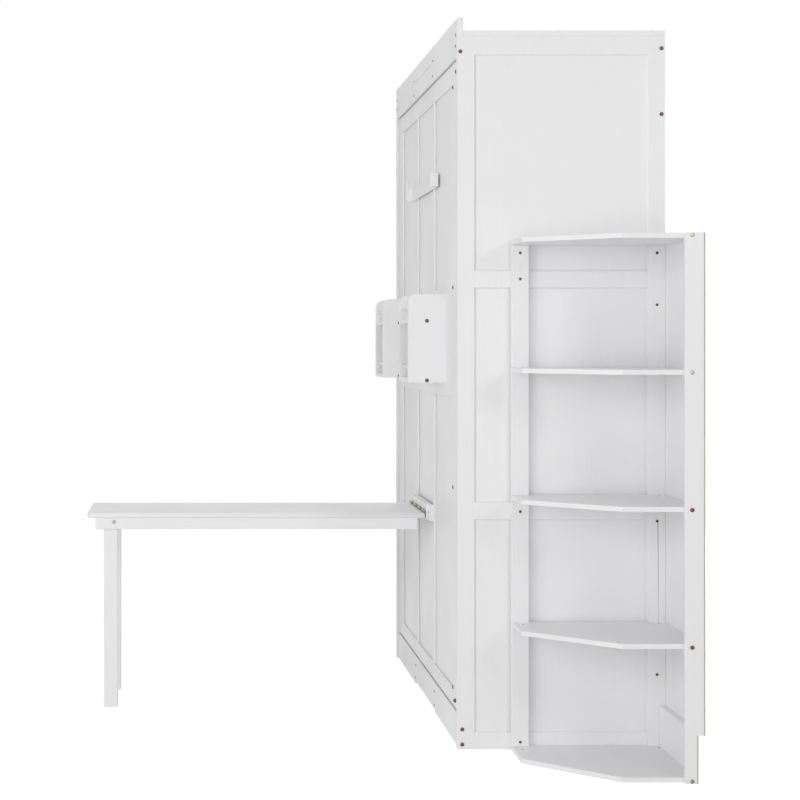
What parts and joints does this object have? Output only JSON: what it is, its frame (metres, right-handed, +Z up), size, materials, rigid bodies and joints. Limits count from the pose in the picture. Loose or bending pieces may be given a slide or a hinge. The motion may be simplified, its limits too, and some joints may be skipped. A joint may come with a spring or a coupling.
{
  "type": "wall bed with fold down desk",
  "caption": "Cabinet bed that swings down from the wall, with a hinged desk and two book racks on its front and an open shelf unit on one side.",
  "frame": {"origin": "on the floor at the wall, in the middle of the bed's width", "axes": "+X to the side with the shelf unit, +Y into the wall, +Z up"},
  "size_m": [2.105, 1.88, 2.337],
  "materials": {
    "white_paint": "white satin paint",
    "bare_pine": "planed, unpainted",
    "hardboard": "hardboard, white on its shelf side",
    "bronze_steel": "bronze coloured, satin",
    "plain_steel": "turned",
    "brass": "satin"
  },
  "bodies": {
    "cabinet": {"right_side_frame": "white_paint", "right_side_panels": "white_paint", "left_side_frame": "white_paint", "left_side_panels": "white_paint", "top_board": "white_paint", "crown_left": "white_paint", "crown_middle": "white_paint", "crown_right": "white_paint", "kick_left": "white_paint", "kick_middle": "white_paint", "kick_right": "white_paint", "joining_blocks": "bare_pine", "upper_wall_rail": "bare_pine", "lower_wall_rail": "bare_pine", "bed_stops": "bare_pine", "side_bolts": "bronze_steel", "top_bolts": "bronze_steel", "front_screws": "bronze_steel", "pivot_pins": "plain_steel", "shelf_front_cleat": "white_paint", "shelf_rear_cleat": "white_paint", "shelf_post": "white_paint", "shelf_1": "white_paint", "shelf_2": "white_paint", "shelf_3": "white_paint", "shelf_4": "white_paint", "shelf_5": "white_paint", "shelf_back_panels": "hardboard", "shelf_bolts": "brass", "cleat_screws": "bronze_steel"},
    "bed": {"bed_left_stile": "white_paint", "bed_right_stile": "white_paint", "bed_top_rail": "white_paint", "bed_middle_rail": "white_paint", "bed_bottom_rail": "white_paint", "bed_muntins": "white_paint", "bed_panels": "white_paint", "bed_left_side_board": "white_paint", "bed_right_side_board": "white_paint", "bed_head_board": "white_paint", "bed_foot_board": "white_paint", "slat_bearers": "bare_pine", "slats": "bare_pine", "pivot_bushes": "brass", "bed_corner_blocks": "bare_pine", "bed_bolts": "bronze_steel", "rack_boards": "white_paint", "rack_shelves": "white_paint", "rack_rods": "white_paint", "rack_bolts": "bronze_steel", "desk_batten": "white_paint", "desk_rest": "white_paint", "hinge_wall_leaves": "brass", "hinge_pins": "brass"},
    "desk": {"desk_top": "white_paint", "desk_aprons": "white_paint", "hinge_desk_leaves": "brass", "leg_bolts": "plain_steel"},
    "desk_left_leg_body": {"desk_left_leg": "white_paint"},
    "desk_right_leg_body": {"desk_right_leg": "white_paint"}
  },
  "joints": [
    {"name": "bed_pivot", "type": "hinge", "parent": "cabinet", "child": "bed", "pos_m": [0, -0.622, 0.164], "axis": [1, 0, 0], "range_deg": [0, 90]},
    {"name": "desk_hinge", "type": "hinge", "parent": "bed", "child": "desk", "pos_m": [0, -0.683, 0.698], "axis": [-1, 0, 0], "range_deg": [0, 90]},
    {"name": "left_leg_fold", "type": "hinge", "parent": "desk", "child": "desk_left_leg_body", "pos_m": [-0.1554, -1.785, 0.661], "axis": [1, 0, 0], "range_deg": [0, 90]},
    {"name": "right_leg_fold", "type": "hinge", "parent": "desk", "child": "desk_right_leg_body", "pos_m": [0.1554, -1.785, 0.661], "axis": [1, 0, 0], "range_deg": [0, 90]}
  ]
}
